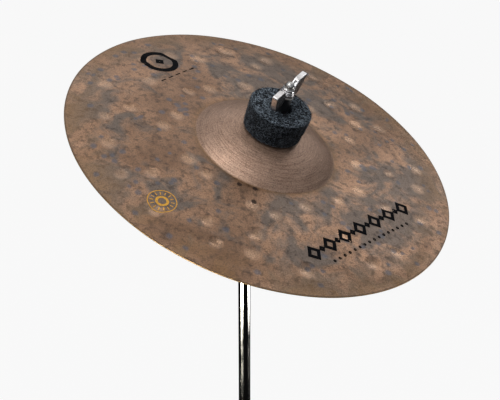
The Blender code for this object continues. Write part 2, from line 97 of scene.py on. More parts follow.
# Felts
FELT_RADIUS = 20.0 * MM
FELT_BOTTOM_RADIUS = 18.6 * MM
FELT_HOLE_RADIUS = 7.0 * MM
LOWER_FELT_RADIUS = 14.0 * MM
LOWER_FELT_CLEARANCE = 2.2 * GAP
SLEEVE_FLANGE_THICKNESS = 1.2 * MM
FELT_ROUNDING = 1.3 * MM
LOWER_FELT_ROUNDING = 1.4 * MM
FELT_LUMPS = 0.14 * MM
FELT_MESH_SPACING = 0.9 * MM
FELT_SEGMENTS = 150
UPPER_FIBRES = 3200
LOWER_FIBRES = 900
FELT_SEED = 5

# Stud thread
STUD_RADIUS = 3.0 * MM
THREAD_CLEARANCE = 0.03 * MM
THREAD_PITCH = 1.0 * MM
THREAD_DEPTH = 0.55 * MM

# Wing nut
HUB_BOTTOM_RADIUS = 4.9 * MM
HUB_MIDDLE_RADIUS = 4.4 * MM
HUB_TOP_RADIUS = 3.95 * MM
NUT_WASHER_THICKNESS = 1.0 * MM
HUB_BOTTOM = SLEEVE_TOP + NUT_WASHER_THICKNESS + 2 * GAP
HUB_TOP = EDGE_HEIGHT + 55.4 * MM
NUT_BORE_RADIUS = 3.25 * MM
NUT_SEGMENTS = 64
WING_TIP_REACH = 21.5 * MM
WING_BEND_REACH = 10.6 * MM
WING_FOOT_REACH = 14.8 * MM
WING_SLOPE_REACH = 5.6 * MM
WING_SLOPE_FOOT = EDGE_HEIGHT + 52.9 * MM
WING_TOP = EDGE_HEIGHT + 58.0 * MM
WING_FOOT = EDGE_HEIGHT + 44.8 * MM
WING_THICKNESS = 3.8 * MM
WING_CORNER = 0.8 * MM
WING_BEVEL = 0.5 * MM
WING_ANGLE = math.radians(62.0)
POCKET_LENGTH = 4.6 * MM
POCKET_WIDTH = 1.8 * MM
POCKET_DEPTH = 2.0 * MM
POCKET_BEVEL = 0.2 * MM
BORE_FLARE = 0.45 * MM
NUT_VOXEL = 0.26 * MM

# Camera: in front of the cymbal and above it
CAMERA_ELEVATION = math.radians(37.6)
CAMERA_DISTANCE = 1.255
CAMERA_SIDE = 6.5 * MM
CAMERA_RISE = 26.9 * MM
LENS_MM = 144.0
SENSOR_MM = 36.0

# Floor and the arm's low light strips
FLOOR_DROP = 0.9
FLOOR_HALF_WIDTH = 60.0
STRIP_DISTANCE = 1.19
STRIP_HEIGHT = 0.35


# ---------------------------------------------------------------- frame and mesh helpers


def joint_named(frame, name):
    for joint in frame["joints"]:
        if joint["name"] == name:
            return joint
    raise KeyError(name)


def stud_matrix(frame):
    """Local axes for pieces built along the stud: origin at the pivot, Z up the stud."""
    pivot = Vector(joint_named(frame, PIVOT_JOINT)["pos_m"])
    axis = Vector(joint_named(frame, SPIN_JOINT)["axis"])
    tilt = math.atan2(axis.x, axis.z)
    return Matrix.Translation(pivot) @ Matrix.Rotation(tilt, 4, "Y")


def make_object(name, mesh, matrix=None):
    made = bpy.data.objects.new(name, mesh)
    bpy.context.scene.collection.objects.link(made)
    if matrix is not None:
        made.matrix_world = matrix
    return made


def mesh_from_arrays(name, points, faces):
    mesh = bpy.data.meshes.new(name)
    mesh.from_pydata([tuple(p) for p in points], [], [tuple(int(i) for i in f) for f in faces])
    mesh.update()
    return mesh


def grid_faces(rings, segments, first=0, flip=False):
    """Quads between rings of a closed band of segments."""
    faces = []
    for i in range(rings - 1):
        for j in range(segments):
            a = first + i * segments + j
            b = first + i * segments + (j + 1) % segments
            c = b + segments
            d = a + segments
            faces.append((a, d, c, b) if flip else (a, b, c, d))
    return faces


def outward(mesh):
    """Makes every closed piece's faces point outward."""
    shape = bmesh.new()
    shape.from_mesh(mesh)
    bmesh.ops.recalc_face_normals(shape, faces=shape.faces)
    shape.to_mesh(mesh)
    shape.free()


def smooth(obj, degrees=35):
    obj.data.shade_smooth()
    obj.data.set_sharp_from_angle(angle=math.radians(degrees))


def turned_mesh(name, profile, segments, closed=True):
    """A ring or solid of revolution about Z from (radius, height) points."""
    angles = np.linspace(0, math.tau, segments, endpoint=False)
    points = []
    for radius, height in profile:
        ring = np.stack([radius * np.cos(angles), radius * np.sin(angles), np.full(segments, height)], 1)
        points.append(ring)
    points = np.concatenate(points)
    rings = len(profile)
    faces = grid_faces(rings, segments)
    if closed:
        last = (rings - 1) * segments
        for j in range(segments):
            k = (j + 1) % segments
            faces.append((last + j, last + k, k, j))
    mesh = mesh_from_arrays(name, points, faces)
    shape = bmesh.new()
    shape.from_mesh(mesh)
    bmesh.ops.remove_doubles(shape, verts=shape.verts, dist=1e-6)
    bmesh.ops.recalc_face_normals(shape, faces=shape.faces)
    shape.to_mesh(mesh)
    shape.free()
    return mesh


def applied(obj):
    """Applies an object's modifiers to its mesh."""
    bpy.context.view_layer.update()
    evaluated = obj.evaluated_get(bpy.context.evaluated_depsgraph_get())
    mesh = bpy.data.meshes.new_from_object(evaluated)
    obj.modifiers.clear()
    obj.data = mesh


# ---------------------------------------------------------------- node helpers


class Nodes:
    """Short names for building one material's node tree."""

    def __init__(self, name):
        self.material = bpy.data.materials.new(name)
        self.material.use_nodes = True
        self.tree = self.material.node_tree
        self.shader = self.tree.nodes["Principled BSDF"]

    def add(self, kind, **settings):
        node = self.tree.nodes.new(kind)
        for key, value in settings.items():
            setattr(node, key, value)
        return node

    def link(self, source, target):
        self.tree.links.new(source, target)

    def feed(self, socket, value):
        if isinstance(value, bpy.types.NodeSocket):
            self.link(value, socket)
        else:
            socket.default_value = value

    def position(self):
        return self.add("ShaderNodeTexCoord").outputs["Object"]

    def parts(self, vector):
        """A vector's X, Y and Z outputs."""
        node = self.add("ShaderNodeSeparateXYZ")
        self.link(vector, node.inputs[0])
        return node.outputs

    def facing(self):
        """The X, Y and Z of the piece's own normal."""
        return self.parts(self.add("ShaderNodeTexCoord").outputs["Normal"])

    def stretched(self, vector, scale):
        node = self.add("ShaderNodeMapping")
        self.link(vector, node.inputs["Vector"])
        node.inputs["Scale"].default_value = scale
        return node.outputs["Vector"]

    def noise(self, vector, scale, detail=3.0, roughness=0.55, distortion=0.0):
        node = self.add("ShaderNodeTexNoise")
        self.link(vector, node.inputs["Vector"])
        node.inputs["Scale"].default_value = scale
        node.inputs["Detail"].default_value = detail
        node.inputs["Roughness"].default_value = roughness
        node.inputs["Distortion"].default_value = distortion
        return node.outputs["Fac"]

    def cells(self, vector, scale):
        node = self.add("ShaderNodeTexVoronoi")
        self.link(vector, node.inputs["Vector"])
        node.inputs["Scale"].default_value = scale
        return node.outputs["Distance"]

    def ramp(self, value, low, high, start=0.0, end=1.0):
        """Maps value from low..high onto start..end, clamped."""
        node = self.add("ShaderNodeMapRange", clamp=True)
        self.link(value, node.inputs["Value"])
        node.inputs["From Min"].default_value = low
        node.inputs["From Max"].default_value = high
        node.inputs["To Min"].default_value = start
        node.inputs["To Max"].default_value = end
        return node.outputs["Result"]

    def math(self, operation, a, b=0.0):
        node = self.add("ShaderNodeMath", operation=operation)
        self.feed(node.inputs[0], a)
        self.feed(node.inputs[1], b)
        return node.outputs[0]

    def mix(self, factor, a, b):
        node = self.add("ShaderNodeMix", data_type="RGBA")
        self.feed(node.inputs[0], factor)
        self.feed(node.inputs[6], a)
        self.feed(node.inputs[7], b)
        return node.outputs[2]

    def attribute(self, name):
        return self.add("ShaderNodeAttribute", attribute_name=name).outputs["Fac"]

    def bump(self, height, distance, under=None):
        node = self.add("ShaderNodeBump")
        self.link(height, node.inputs["Height"])
        node.inputs["Distance"].default_value = distance
        node.inputs["Strength"].default_value = 1.0
        if under is not None:
            self.link(under, node.inputs["Normal"])
        return node.outputs["Normal"]

    def set(self, **values):
        names = {
            "colour": "Base Color",
            "metallic": "Metallic",
            "roughness": "Roughness",
            "normal": "Normal",
            "sheen": "Sheen Weight",
            "specular": "Specular IOR Level",
        }
        for key, value in values.items():
            self.feed(self.shader.inputs[names[key]], value)
        return self.material


def rgb(red, green, blue):
    """An sRGB colour out of 255 as the linear colour a shader wants."""

    def linear(channel):
        share = channel / 255
        return share / 12.92 if share <= 0.04045 else ((share + 0.055) / 1.055) ** 2.4

    return (linear(red), linear(green), linear(blue), 1.0)


# ---------------------------------------------------------------- cymbal


def bow_height(radius):
    """Height of the plain outer surface at each radius, before any hammering."""
    bow = np.clip((radius - BELL_RADIUS) / (CYMBAL_RADIUS - BELL_RADIUS), 0, 1)
    bell = np.clip((radius - HOLE_RADIUS) / (BELL_RADIUS - HOLE_RADIUS), 0, 1)
    on_bow = BELL_BASE_HEIGHT - (BELL_BASE_HEIGHT - EDGE_HEIGHT) * bow**BOW_POWER
    on_bell = HOLE_HEIGHT - (HOLE_HEIGHT - BELL_BASE_HEIGHT) * bell**BELL_POWER
    return np.where(radius > BELL_RADIUS, on_bow, on_bell)


def hammer_marks():
    """Places of the dents, peen marks and punch marks, as rows of (x, y, radius, depth)."""
    random = np.random.default_rng(HAMMER_SEED)
    dents = []
    for ring_radius, count, start in DENT_RINGS:
        for i in range(count):
            angle = start + math.tau * (i + random.uniform(-0.28, 0.28)) / count
            radius = ring_radius + random.uniform(-1, 1) * DENT_WANDER
            size = DENT_RADIUS * random.uniform(0.78, 1.12)
            depth = DENT_DEPTH * random.uniform(0.3, 1.15)
            dents.append((radius * math.cos(angle), radius * math.sin(angle), size, depth))
    peens = []
    for _ in range(PEEN_COUNT):
        radius = math.sqrt(random.uniform((BELL_RADIUS + 4 * MM) ** 2, (CYMBAL_RADIUS - 5 * MM) ** 2))
        angle = random.uniform(0, math.tau)
        size = PEEN_RADIUS * random.uniform(0.7, 1.2)
        peens.append((radius * math.cos(angle), radius * math.sin(angle), size, PEEN_DEPTH))
    punches = [(x, y, PUNCH_RADIUS, PUNCH_DEPTH) for x, y in PUNCH_MARKS]
    return {"dent": np.array(dents), "peen": np.array(peens), "punch": np.array(punches)}


def dish(x, y, marks):
    """Depth and closeness (0 to 1) of the nearest marks at each point."""
    depth = np.zeros_like(x)
    close = np.zeros_like(x)
    for mark_x, mark_y, size, deep in marks:
        near = ((x - mark_x) ** 2 + (y - mark_y) ** 2) / size**2
        bowl = np.clip(1 - near, 0, 1) ** 1.25
        rim = np.exp(-((np.sqrt(near) - 1.10) ** 2) / 0.02) * 0.10
        depth += deep * (bowl - rim)
        close = np.maximum(close, np.clip(1 - near, 0, 1))
    return depth, close


def hammered_height(x, y, marks):
    """Height of the hammered outer surface, with each kind of mark's closeness field."""
    radius = np.hypot(x, y)
    angle = np.arctan2(y, x)
    on_bow = np.clip((radius - BELL_RADIUS) / (8 * MM), 0, 1)
    waves = WAVE_HEIGHT * np.sin(radius * 430 + 3.0 * np.sin(3 * angle)) * np.sin(7 * angle + radius * 90)
    groove = GROOVE_DEPTH * np.exp(-(((radius - BELL_RADIUS - 0.6 * MM) / (0.9 * MM)) ** 2))
    height = bow_height(radius) + waves * on_bow - groove
    fields = {}
    for kind, places in marks.items():
        depth, fields[kind] = dish(x, y, places)
        height = height - depth
    return height, fields


def ring_radii(count):
    """Radii from the hole to the edge, closer together at the bell's foot and the edge."""
    bell = int(count * 0.28)
    inner = HOLE_RADIUS + (BELL_RADIUS - HOLE_RADIUS) * np.linspace(0, 1, bell, endpoint=False)
    outer = BELL_RADIUS + (CYMBAL_RADIUS - BELL_RADIUS) * np.linspace(0, 1, count - bell) ** 0.97
    return np.concatenate([inner, outer])


def polar_grid(radii, segments):
    angles = np.linspace(0, math.tau, segments, endpoint=False)
    radius, angle = np.meshgrid(radii, angles, indexing="ij")
    return (radius * np.cos(angle)).ravel(), (radius * np.sin(angle)).ravel()


def make_cymbal(matrix, marks):
    """The whole cymbal as one closed shell whose dents are real geometry on both faces."""
    top_x, top_y = polar_grid(ring_radii(TOP_RINGS), CYMBAL_SEGMENTS)
    top_z, top_fields = hammered_height(top_x, top_y, marks)
    low_x, low_y = polar_grid(ring_radii(UNDER_RINGS), CYMBAL_SEGMENTS)
    low_z, low_fields = hammered_height(low_x, low_y, marks)
    low_z -= CYMBAL_THICKNESS
    points = np.stack([np.concatenate(pair) for pair in ((top_x, low_x), (top_y, low_y), (top_z, low_z))], 1)
    first_low = TOP_RINGS * CYMBAL_SEGMENTS
    faces = grid_faces(TOP_RINGS, CYMBAL_SEGMENTS)
    faces += grid_faces(UNDER_RINGS, CYMBAL_SEGMENTS, first=first_low, flip=True)
    top_edge = (TOP_RINGS - 1) * CYMBAL_SEGMENTS
    low_edge = first_low + (UNDER_RINGS - 1) * CYMBAL_SEGMENTS
    for j in range(CYMBAL_SEGMENTS):
        k = (j + 1) % CYMBAL_SEGMENTS
        faces.append((top_edge + j, top_edge + k, low_edge + k, low_edge + j))
        faces.append((k, j, first_low + j, first_low + k))
    mesh = mesh_from_arrays("cymbal_bronze", points, faces)
    outward(mesh)
    for kind in marks:
        field = mesh.attributes.new(kind, "FLOAT", "POINT")
        values = np.concatenate([top_fields[kind], low_fields[kind]])
        field.data.foreach_set("value", values.astype(np.float32))
    made = make_object("cymbal_bronze", mesh, matrix)
    made.data.materials.append(bronze_material())
    smooth(made, 50)
    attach(made, "cymbal_body")
    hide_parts("cymbal")


def bronze_material():
    """Raw hammered bronze: brown patina with blue-grey clouds, dents lightened partly as burnished metal and
    partly as painted highlight, and a golden rim.
    """
    n = Nodes("raw_hammered_bronze")
    place = n.position()
    split = n.parts(place)
    flat = n.add("ShaderNodeCombineXYZ")
    n.link(split["X"], flat.inputs["X"])
    n.link(split["Y"], flat.inputs["Y"])
    length = n.add("ShaderNodeVectorMath", operation="LENGTH")
    n.link(flat.outputs[0], length.inputs[0])
    radius = length.outputs["Value"]
    angle = n.math("ARCTAN2", split["Y"], split["X"])
    polar = n.add("ShaderNodeCombineXYZ")
    n.link(n.math("MULTIPLY", angle, 0.045), polar.inputs["X"])
    n.link(radius, polar.inputs["Y"])
    n.link(n.math("COSINE", angle), polar.inputs["Z"])

    cloud = n.noise(place, 17, detail=4, roughness=0.55, distortion=0.6)
    patch = n.noise(place, 46, detail=5, roughness=0.6, distortion=0.7)
    small = n.noise(place, 240, detail=5, roughness=0.7)
    grain = n.noise(place, 1300, detail=3, roughness=0.7)
    streak = n.noise(n.stretched(polar.outputs[0], (60.0, 1500.0, 1.0)), 1.0, detail=4, roughness=0.75)

    colour = n.mix(n.ramp(cloud, 0.35, 0.65), rgb(136, 104, 80), rgb(194, 152, 120))
    grey = n.math("ADD", n.math("MULTIPLY", patch, 0.6), n.math("MULTIPLY", cloud, 0.4))
    colour = n.mix(n.ramp(grey, 0.47, 0.56, 0.0, 0.78), colour, rgb(100, 98, 94))
    colour = n.mix(n.ramp(small, 0.50, 0.64, 0.0, 0.7), colour, rgb(70, 58, 50))
    rim = n.ramp(radius, 0.80 * CYMBAL_RADIUS, 0.99 * CYMBAL_RADIUS)
    rust = n.math("MULTIPLY", rim, n.ramp(patch, 0.40, 0.58))
    colour = n.mix(n.math("MULTIPLY", rust, 0.55), colour, rgb(172, 130, 84))
    dent = n.attribute("dent")
    # the dents are lightened toward peach: partly burnished bronze, partly a painted highlight
    colour = n.mix(n.ramp(dent, 0.10, 0.85, 0.0, 0.38), colour, rgb(226, 184, 150))
    peen = n.attribute("peen")
    colour = n.mix(n.ramp(peen, 0.05, 0.6, 0.0, 0.7), colour, rgb(98, 100, 108))
    on_bell = n.ramp(radius, BELL_RADIUS + 0.8 * MM, BELL_RADIUS - 0.8 * MM)
    bell_colour = n.mix(n.ramp(streak, 0.30, 0.70), rgb(138, 108, 90), rgb(204, 170, 146))
    colour = n.mix(n.math("MULTIPLY", on_bell, 0.9), colour, bell_colour)
    foot_inside = n.ramp(radius, BELL_RADIUS - 0.6 * MM, BELL_RADIUS + 0.3 * MM)
    foot_outside = n.ramp(radius, BELL_RADIUS + 4.5 * MM, BELL_RADIUS + 0.7 * MM)
    foot = n.math("MULTIPLY", foot_inside, foot_outside)
    colour = n.mix(n.math("MULTIPLY", foot, 0.55), colour, rgb(136, 102, 68))
    edge = n.ramp(radius, CYMBAL_RADIUS - 0.9 * MM, CYMBAL_RADIUS - 0.3 * MM)
    colour = n.mix(n.math("MULTIPLY", edge, 0.7), colour, rgb(70, 56, 44))
    wall = n.ramp(radius, CYMBAL_RADIUS - 0.12 * MM, CYMBAL_RADIUS - 0.04 * MM)
    colour = n.mix(n.math("MULTIPLY", wall, 0.8), colour, rgb(196, 154, 98))
    colour = n.mix(n.ramp(grain, 0.45, 0.68, 0.0, 0.68), colour, rgb(78, 64, 54))
    punch = n.attribute("punch")
    colour = n.mix(n.ramp(punch, 0.05, 0.4, 0.0, 0.9), colour, rgb(44, 32, 26))

    rough = n.ramp(patch, 0.35, 0.7, 0.32, 0.46)
    rough = n.math("SUBTRACT", rough, n.math("MULTIPLY", dent, 0.16))
    rough = n.math("ADD", rough, n.math("MULTIPLY", punch, 0.3))
    normal = n.bump(grain, 0.00012)
    normal = n.bump(small, 0.00030, under=normal)
    brushed = n.math("MULTIPLY", streak, on_bell)
    normal = n.bump(brushed, 0.00016, under=normal)
    return n.set(colour=colour, metallic=0.7, roughness=rough, normal=normal)


# ---------------------------------------------------------------- marks on the cymbal


def lay_on_cymbal(name, x, y, faces, matrix, marks):
    """Drapes flat faces over the hammered surface, like printed ink."""
    x = np.array(x)
    y = np.array(y)
    z = hammered_height(x, y, marks)[0] + INK_LIFT
    mesh = mesh_from_arrays(name, np.stack([x, y, z], 1), faces)
    made = make_object(name, mesh, matrix)
    made.data.shade_smooth()
    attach(made, "cymbal_body")
    return made


def ring_patch(centre, inner, outer, across=4, along=72):
    """Points and faces of a flat ring, facing up."""
    x, y, faces = [], [], []
    for i in range(across + 1):
        radius = inner + (outer - inner) * i / across
        for j in range(along + 1):
            angle = math.tau * j / along
            x.append(centre[0] + radius * math.cos(angle))
            y.append(centre[1] + radius * math.sin(angle))
    row = along + 1
    for i in range(across):
        for j in range(along):
            a = i * row + j
            faces.append((a, a + row, a + row + 1, a + 1))
    return x, y, faces


def bar_patch(centre, along_angle, length, width, cells=(4, 8)):
    """Points and faces of a flat bar."""
    x, y, faces = [], [], []
    ux, uy = math.cos(along_angle), math.sin(along_angle)
    for i in range(cells[0] + 1):
        across = width * (i / cells[0] - 0.5)
        for j in range(cells[1] + 1):
            along = length * (j / cells[1] - 0.5)
            x.append(centre[0] + ux * along - uy * across)
            y.append(centre[1] + uy * along + ux * across)
    row = cells[1] + 1
    for i in range(cells[0]):
        for j in range(cells[1]):
            a = i * row + j
            faces.append((a, a + 1, a + row + 1, a + row))
    return x, y, faces


def gather(patches):
    """Joins several patches into one set of points and faces."""
    x, y, faces = [], [], []
    for patch_x, patch_y, patch_faces in patches:
        first = len(x)
        x += patch_x
        y += patch_y
        faces += [tuple(first + i for i in face) for face in patch_faces]
    return x, y, faces


def diamond_patch(centre, along_angle, half_length, half_width, hole):
    """Points and faces of a diamond outline; hole is the opening's share of its size."""
    x, y, faces = [], [], []
    ux, uy = math.cos(along_angle), math.sin(along_angle)
    corners = ((1, 0), (0, 1), (-1, 0), (0, -1))
    steps = 6
    for scale in (hole, 1.0):
        for i, (a, b) in enumerate(corners):
            c, d = corners[(i + 1) % 4]
            for step in range(steps):
                share = step / steps
                along = (a + (c - a) * share) * half_length * scale
                across = (b + (d - b) * share) * half_width * scale
                x.append(centre[0] + ux * along - uy * across)
                y.append(centre[1] + uy * along + ux * across)
    row = 4 * steps
    for j in range(row):
        k = (j + 1) % row
        faces.append((j, row + j, row + k, k))
    return x, y, faces


def along_band(centre, angle, along, across):
    """A place given by its distances along and across a slanted band."""
    ux, uy = math.cos(angle), math.sin(angle)
    return centre[0] + ux * along - uy * across, centre[1] + uy * along + ux * across


def make_ring_mark(matrix, marks, ink):
    """A ring with a small diamond in it, beside a row of dashes."""
    angle = RING_MARK_ANGLE
    patches = [
        ring_patch(RING_MARK_PLACE, *RING_MARK_RADII),
        diamond_patch(RING_MARK_PLACE, angle, 3.6 * MM, 3.6 * MM, 0.1),
    ]
    for i in range(DASH_COUNT):
        at = along_band(DASH_PLACE, angle, (i - (DASH_COUNT - 1) / 2) * DASH_SPACING, 0)
        patches.append(bar_patch(at, angle, 4.2 * MM, 0.9 * MM))
    made = lay_on_cymbal("ink_ring_mark", *gather(patches), matrix, marks)
    made.data.materials.append(ink)


def make_band(matrix, marks, ink):
    """Large open and small filled diamonds in a row, with a finer dotted row below."""
    patches = []
    for i in range(BAND_FIGURES):
        at = along_band(BAND_PLACE, BAND_ANGLE, (i / (BAND_FIGURES - 1) - 0.5) * BAND_LENGTH, 0)
        if i % 2:
            patches.append(diamond_patch(at, BAND_ANGLE, 2.6 * MM, 2.6 * MM, 0.05))
        else:
            patches.append(diamond_patch(at, BAND_ANGLE, 5.6 * MM, 6.2 * MM, 0.42))
    for i in range(BAND_DOTS):
        along = (i / (BAND_DOTS - 1) - 0.5) * DOT_ROW_LENGTH
        at = along_band(BAND_PLACE, BAND_ANGLE, along, -DOT_ROW_DROP)
        patches.append(ring_patch(at, 0.2 * MM, 1.1 * MM, across=1, along=14))
    made = lay_on_cymbal("ink_diamond_band", *gather(patches), matrix, marks)
    made.data.materials.append(ink)


def make_gilt_sun(matrix, marks):
    """Two rings with short rays between them."""
    patches = [
        ring_patch(SUN_PLACE, 8.6 * MM, 9.2 * MM),
        ring_patch(SUN_PLACE, 2.6 * MM, 4.2 * MM),
    ]
    for i in range(SUN_RAYS):
        angle = math.tau * i / SUN_RAYS
        at = along_band(SUN_PLACE, angle, SUN_RAY_REACH, 0)
        patches.append(bar_patch(at, angle, 2.2 * MM, 0.6 * MM, cells=(2, 4)))
    made = lay_on_cymbal("gilt_sun_mark", *gather(patches), matrix, marks)
    made.data.materials.append(gilt_material())


def make_marks(matrix, marks):
    """Plain generic ornament where the real cymbal is printed."""
    ink = ink_material()
    make_ring_mark(matrix, marks, ink)
    make_band(matrix, marks, ink)
    make_gilt_sun(matrix, marks)


def ink_material():
    n = Nodes("black_ink")
    place = n.position()
    worn = n.noise(place, 900, detail=4)
    colour = n.mix(n.ramp(worn, 0.58, 0.75, 0.0, 0.6), rgb(5, 6, 9), rgb(56, 48, 42))
    return n.set(
        colour=colour,
        specular=0.05,
        roughness=n.ramp(worn, 0.3, 0.7, 0.6, 0.8),
        normal=n.bump(worn, 0.00004),
    )


def gilt_material():
    n = Nodes("gilt_print")
    place = n.position()
    worn = n.noise(place, 800, detail=4)
    colour = n.mix(n.ramp(worn, 0.48, 0.7, 0.0, 0.8), rgb(226, 168, 62), rgb(150, 104, 52))
    return n.set(
        colour=colour,
        metallic=0.6,
        roughness=n.ramp(worn, 0.3, 0.7, 0.32, 0.5),
        normal=n.bump(worn, 0.00004),
    )


# ---------------------------------------------------------------- felts


def felt_profile(outer, foot, bottom, top, rounding, hole):
    """(radius, height) points of a felt washer with soft corners, down its outer side to its foot."""
    steps = 5
    points = []
    corners = (
        (outer - rounding, top - rounding, math.pi / 2, 0.0),
        (foot - rounding, bottom + rounding, 0.0, -math.pi / 2),
    )
    bore_round = 0.5 * rounding
    points.append((hole + bore_round, top))
    for middle_r, middle_z, first, last in corners:
        for i in range(steps + 1):
            angle = first + (last - first) * i / steps
            points.append((middle_r + rounding * math.cos(angle), middle_z + rounding * math.sin(angle)))
    points.append((hole + bore_round, bottom))
    points.append((hole, bottom + bore_round))
    points.append((hole, top - bore_round))
    return points


def refine(profile, spacing):
    """Adds points along a closed profile so that none are further apart than spacing."""
    fine = []
    for (r0, z0), (r1, z1) in zip(profile, profile[1:] + profile[:1]):
        steps = max(1, math.ceil(math.hypot(r1 - r0, z1 - z0) / spacing))
        for i in range(steps):
            fine.append((r0 + (r1 - r0) * i / steps, z0 + (z1 - z0) * i / steps))
    return fine


def lumpy(mesh, amount, seed):
    """Pushes a felt's skin in and out a little, so its faces and rims aren't perfect."""
    count = len(mesh.vertices)
    points = np.empty(count * 3)
    mesh.vertices.foreach_get("co", points)
    points = points.reshape(-1, 3)
    normals = np.empty(count * 3)
    mesh.vertices.foreach_get("normal", normals)
    normals = normals.reshape(-1, 3)
    random = np.random.default_rng(seed)
    push = np.zeros(count)
    for wave in (220.0, 420.0, 900.0, 1500.0):
        direction = random.normal(size=(3, 3)) * wave
        phase = random.uniform(0, math.tau, 3)
        waves = np.sin(points @ direction.T + phase)
        push += waves.prod(axis=1) * amount * (220.0 / wave) ** 0.35
    points += normals * (push - amount)[:, None]
    mesh.vertices.foreach_set("co", points.ravel())
    mesh.update()


def make_felt(node, profile, matrix, body, seed, fibres):
    """The felt washer that takes the place of a node, with its loose fibres."""
    name = node + "_washer"
    mesh = turned_mesh(name, refine(profile, FELT_MESH_SPACING), FELT_SEGMENTS)
    lumpy(mesh, FELT_LUMPS, seed)
    felt = make_object(name, mesh, matrix)
    felt.data.materials.append(felt_material(name + "_wool"))
    smooth(felt, 80)
    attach(felt, body)
    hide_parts(node)
    fuzz = make_fuzz(felt, name + "_fuzz", matrix, fibres, seed)
    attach(fuzz, body)


def make_fuzz(felt, name, matrix, count, seed):
    """Loose wool fibres lying on and curling off the felt, as thin three-sided strands."""
    random = np.random.default_rng(seed + 100)
    mesh = felt.data
    mesh.calc_loop_triangles()
    areas = np.array([t.area for t in mesh.loop_triangles])
    chosen = random.choice(len(areas), size=count, p=areas / areas.sum())
    points, faces, shades = [], [], []
    steps = 5
    for index in chosen:
        triangle = mesh.loop_triangles[int(index)]
        a, b, c = (mesh.vertices[i].co for i in triangle.vertices)
        u, v = sorted(random.uniform(0, 1, 2))
        start = a * u + b * (v - u) + c * (1 - v)
        normal = triangle.normal
        side = normal.cross(Vector(random.normal(size=3))).normalized()
        length = random.uniform(1.2, 4.2) * MM
        lift = random.uniform(0.05, 0.42) * MM * (1.0 + 1.5 * (random.uniform() > 0.9))
        bend = random.uniform(-1.6, 1.6)
        thick = random.uniform(0.035, 0.075) * MM
        turn = normal.cross(side)
        centre = start.copy()
        heading = side.copy()
        first = len(points)
        shade = random.uniform()
        for step in range(steps + 1):
            share = step / steps
            above = normal * (lift * math.sin(math.pi * min(share * 1.15, 1.0)))
            across = heading.cross(normal)
            for corner in range(3):
                spin = math.tau * corner / 3
                offset = across * math.cos(spin) + normal * math.sin(spin)
                points.append(centre + above + offset * thick * (1.0 - 0.5 * share))
                shades.append(shade)
            centre = centre + heading * (length / steps)
            heading = (heading + turn * (bend / steps)).normalized()
        for step in range(steps):
            for corner in range(3):
                p = first + step * 3 + corner
                q = first + step * 3 + (corner + 1) % 3
                faces.append((p, q, q + 3, p + 3))
        faces.append((first + 2, first + 1, first))
        last = first + steps * 3
        faces.append((last, last + 1, last + 2))
    fuzz_mesh = mesh_from_arrays(name, points, faces)
    field = fuzz_mesh.attributes.new("shade", "FLOAT", "POINT")
    field.data.foreach_set("value", np.array(shades, dtype=np.float32))
    fuzz = make_object(name, fuzz_mesh, matrix)
    fuzz.data.shade_smooth()
    fuzz.data.materials.append(fibre_material(name + "_fibre"))
    return fuzz


def felt_material(name):
    """Dense near-black navy wool with paler grey flecks and a matted surface; the flecks are dimmed on the
    sides as painted shade.
    """
    n = Nodes(name)
    place = n.position()
    matted = n.noise(place, 420, detail=5, roughness=0.75, distortion=1.4)
    fleck = n.noise(n.stretched(place, (1.0, 1.3, 1.5)), 560, detail=3, roughness=0.6, distortion=1.8)
    upward = n.math("ABSOLUTE", n.facing()["Z"])
    colour = n.mix(n.ramp(matted, 0.42, 0.62), rgb(1, 2, 4), rgb(12, 17, 24))
    # painted shade: the flecks are dimmed on the felt's sides and kept bright on its top
    side_shaded_flecks = n.math("MULTIPLY", n.ramp(fleck, 0.53, 0.58), n.ramp(upward, 0.1, 0.7, 0.30, 0.80))
    colour = n.mix(side_shaded_flecks, colour, rgb(156, 170, 182))
    corner = n.math("MULTIPLY", n.ramp(upward, 0.25, 0.55), n.ramp(upward, 0.95, 0.75))
    frayed = n.math("MULTIPLY", corner, n.ramp(matted, 0.44, 0.56, 0.0, 0.55))
    colour = n.mix(frayed, colour, rgb(128, 138, 148))
    normal = n.bump(fleck, 0.0004)
    normal = n.bump(matted, 0.0009, under=normal)
    return n.set(
        colour=colour,
        roughness=n.ramp(matted, 0.3, 0.7, 0.85, 1.0),
        normal=normal,
        sheen=0.05,
        specular=0.1,
    )


def fibre_material(name):
    n = Nodes(name)
    place = n.position()
    along = n.noise(place, 2500, detail=2)
    shade = n.attribute("shade")
    colour = n.mix(n.ramp(shade, 0.35, 1.0), rgb(6, 9, 13), rgb(140, 150, 160))
    colour = n.mix(n.ramp(along, 0.45, 0.7, 0.0, 0.5), colour, rgb(34, 40, 48))
    return n.set(
        colour=colour,
        roughness=n.ramp(along, 0.3, 0.7, 0.75, 0.95),
        normal=n.bump(along, 0.00003),
        specular=0.1,
    )


def make_felts(matrix):
    seat = HOLE_HEIGHT + GAP
    upper = felt_profile(FELT_RADIUS, FELT_BOTTOM_RADIUS, seat, FELT_TOP, FELT_ROUNDING, FELT_HOLE_RADIUS)
    make_felt("upper_felt", upper, matrix, "felt_top", FELT_SEED, UPPER_FIBRES)
    bottom = SLEEVE_BOTTOM + SLEEVE_FLANGE_THICKNESS + GAP
    underside = float(bow_height(np.array([LOWER_FELT_RADIUS]))[0]) - CYMBAL_THICKNESS
    rim = underside - LOWER_FELT_CLEARANCE
    lower = felt_profile(
        LOWER_FELT_RADIUS, LOWER_FELT_RADIUS, bottom, rim, LOWER_FELT_ROUNDING, FELT_HOLE_RADIUS
    )
    make_felt("lower_felt", lower, matrix, "felt_seat", FELT_SEED + 1, LOWER_FIBRES)


# ---------------------------------------------------------------- hardware


